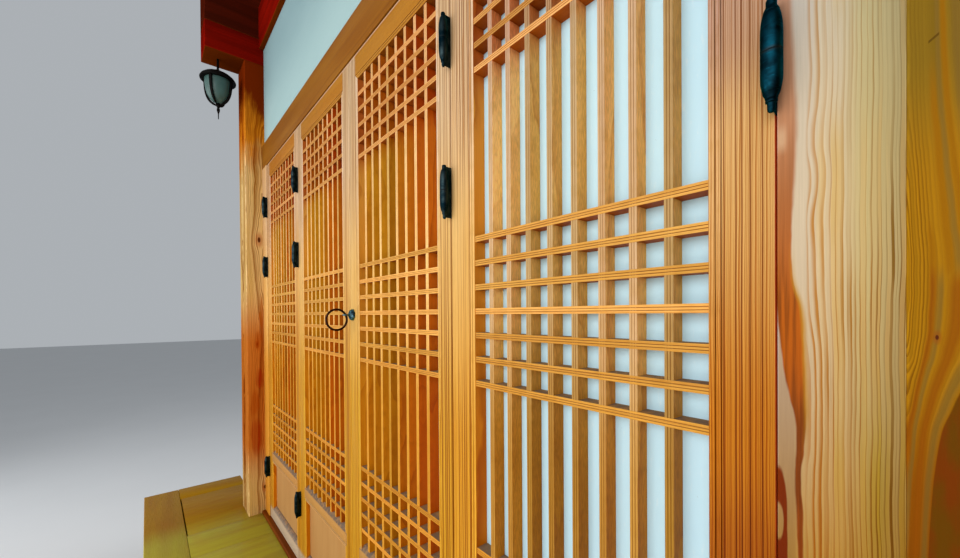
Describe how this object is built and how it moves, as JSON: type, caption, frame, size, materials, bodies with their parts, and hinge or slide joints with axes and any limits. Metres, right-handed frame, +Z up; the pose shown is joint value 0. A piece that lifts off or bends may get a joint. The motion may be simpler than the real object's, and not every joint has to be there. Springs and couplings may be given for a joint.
{
  "type": "hanok front wall bay with folding lattice doors",
  "caption": "Timber front bay with folding lattice door leaves under a plastered panel, a narrow porch and a hanging lantern.",
  "frame": {"origin": "on the ground, midway between the two posts, in the plane of their centres", "axes": "+X along the wall to the right as seen from the porch, +Y through the wall into the house, +Z up"},
  "size_m": [3.756, 0.743, 3.64],
  "materials": {
    "pine": "satin",
    "dark_pine": "satin",
    "porch_pine": "satin",
    "granite": "matte",
    "lime_plaster": "matte",
    "door_paper": "matte",
    "black_iron": "satin",
    "lantern_metal": "satin",
    "frosted_glass": "satin"
  },
  "bodies": {
    "wall_bay": {"stone_footing": "granite", "left_post": "pine", "right_post": "pine", "door_sill": "pine", "left_jamb": "pine", "right_jamb": "pine", "lintel": "pine", "plaster_panel": "lime_plaster", "head_beam": "dark_pine", "left_beam_head": "dark_pine", "right_beam_head": "dark_pine", "leaf_1_frame": "pine", "leaf_1_lattice": "pine", "leaf_1_paper": "door_paper", "leaf_1_panel": "pine", "leaf_2_frame": "pine", "leaf_2_lattice": "pine", "leaf_2_paper": "door_paper", "leaf_2_panel": "pine", "leaf_3_frame": "pine", "leaf_3_lattice": "pine", "leaf_3_paper": "door_paper", "leaf_3_panel": "pine", "leaf_4_frame": "pine", "leaf_4_lattice": "pine", "leaf_4_paper": "door_paper", "leaf_4_panel": "pine", "left_jamb_top_hinge": "black_iron", "left_jamb_upper_hinge": "black_iron", "left_jamb_bottom_hinge": "black_iron", "leaf_1_2_top_hinge": "black_iron", "leaf_1_2_upper_hinge": "black_iron", "leaf_1_2_bottom_hinge": "black_iron", "leaf_3_4_top_hinge": "black_iron", "leaf_3_4_upper_hinge": "black_iron", "leaf_3_4_bottom_hinge": "black_iron", "right_jamb_top_hinge": "black_iron", "right_jamb_upper_hinge": "black_iron", "right_jamb_bottom_hinge": "black_iron", "ring_staple": "black_iron", "lantern_glass": "frosted_glass", "lantern_frame": "lantern_metal", "porch_edge_beam": "porch_pine", "porch_boards": "porch_pine", "left_porch_leg": "porch_pine", "middle_porch_leg": "porch_pine", "right_porch_leg": "porch_pine"},
    "ring_pull": {"door_ring": "black_iron"}
  },
  "joints": [
    {"name": "door_ring_swing", "type": "hinge", "parent": "wall_bay", "child": "ring_pull", "pos_m": [0.0225, -0.0275, 1.6335], "axis": [0, 0, 1], "range_deg": [-80, 80]}
  ]
}
